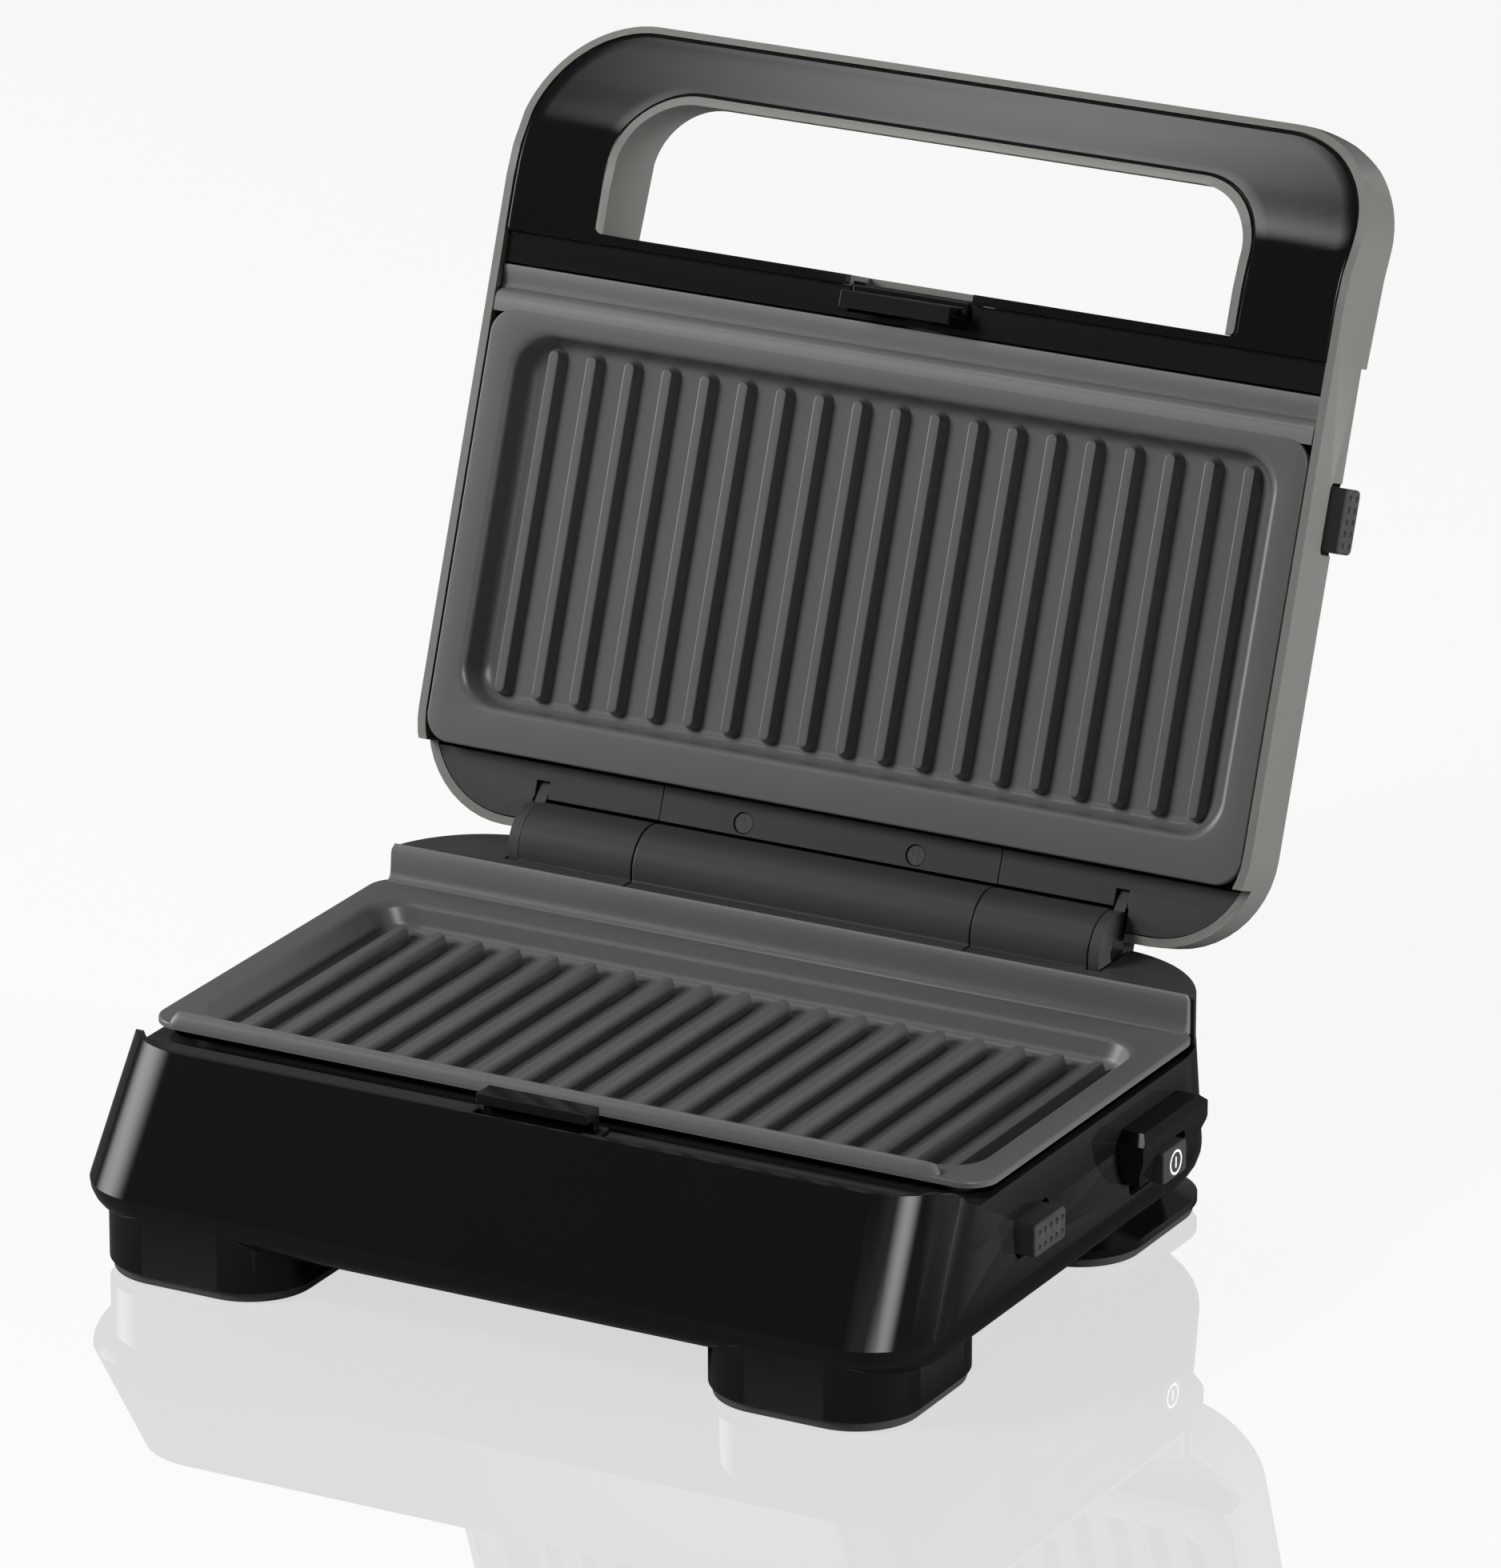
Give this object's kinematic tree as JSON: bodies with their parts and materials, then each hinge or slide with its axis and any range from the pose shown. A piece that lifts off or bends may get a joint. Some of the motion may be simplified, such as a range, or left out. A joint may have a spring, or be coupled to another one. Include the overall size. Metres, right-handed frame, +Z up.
{
  "type": "panini press",
  "caption": "Contact grill with a hinged lid, loop handle, ribbed lift-off plates above and below, a front latch and push-button releases, shown open.",
  "frame": {"origin": "on the worktop, under the middle of the open appliance's bounding box", "axes": "+X towards the side with the buttons, +Y from the front to the hinge, +Z up"},
  "size_m": [0.2776, 0.3006, 0.2909],
  "materials": {
    "gloss_black": "high gloss moulded plastic",
    "matte_black": "matt moulded plastic",
    "rubber": "matt rubber",
    "hinge_grey": "satin moulded plastic",
    "button_grey": "soft-touch with dimples",
    "nonstick": "dark grey non-stick coating on cast aluminium",
    "lid_paint": "warm silver metallic paint, satin",
    "sheet_steel": "aluminised sheet",
    "steel": "plated",
    "heater": "heat-stained sheath",
    "brass": "plain",
    "ceramic": "steatite-like",
    "wire": "silicone insulated wire"
  },
  "bodies": {
    "base": {"base_housing": "gloss_black", "bottom_cover": "matte_black", "front_leg_left": "gloss_black", "front_leg_right": "gloss_black", "rear_leg_left": "gloss_black", "rear_leg_right": "gloss_black", "foot_pads": "rubber", "base_hinge_cover_left": "hinge_grey", "base_hinge_cover_centre": "hinge_grey", "base_hinge_cover_right": "hinge_grey", "hinge_pins": "steel", "lower_plate": "nonstick", "lower_reflector": "sheet_steel", "lower_element": "heater", "lower_plate_clips": "steel", "latch_catch": "matte_black", "switch_hood": "gloss_black", "switch_body": "matte_black", "cord_bush": "rubber", "lower_thermostat": "brass", "thermal_fuse": "steel", "terminal_block": "ceramic", "lower_wiring": "wire", "base_screws": "steel", "lower_release_spring": "steel"},
    "lid": {"lid_shell": "lid_paint", "handle_panel": "gloss_black", "window_frame": "lid_paint", "lid_front_strip": "gloss_black", "lid_rear_cover_left": "hinge_grey", "lid_rear_cover_centre": "hinge_grey", "lid_rear_cover_right": "hinge_grey", "hinge_arm_left": "hinge_grey", "hinge_arm_right": "hinge_grey", "upper_plate": "nonstick", "upper_reflector": "sheet_steel", "upper_element": "heater", "upper_plate_clips": "steel", "upper_wiring": "wire", "lid_screws": "steel", "upper_release_spring": "steel", "latch_pin": "steel"},
    "latch": {"latch": "gloss_black"},
    "lower_release_button": {"lower_release_button": "button_grey"},
    "upper_release_button": {"upper_release_button": "button_grey"},
    "power_button": {"power_button": "gloss_black"}
  },
  "joints": [
    {"name": "lid_hinge", "type": "hinge", "parent": "base", "child": "lid", "pos_m": [-0.00375, 0.04773, 0.071], "axis": [1, 0, 0], "range_deg": [0, 110]},
    {"name": "latch_turn", "type": "hinge", "parent": "lid", "child": "latch", "pos_m": [-0.00375, 0.11015, 0.23079], "axis": [1, 0, 0], "range_deg": [0, 12], "stiffness_Nm_per_rad": 0.02},
    {"name": "lower_release_push", "type": "slide", "parent": "base", "child": "lower_release_button", "axis": [-1, 0, 0], "range_m": [0, 0.003], "stiffness_N_per_m": 400},
    {"name": "upper_release_push", "type": "slide", "parent": "lid", "child": "upper_release_button", "axis": [-1, 0, 0], "range_m": [0, 0.003], "stiffness_N_per_m": 400},
    {"name": "power_push", "type": "slide", "parent": "base", "child": "power_button", "axis": [-1, 0, 0], "range_m": [0, 0.002], "stiffness_N_per_m": 400}
  ]
}
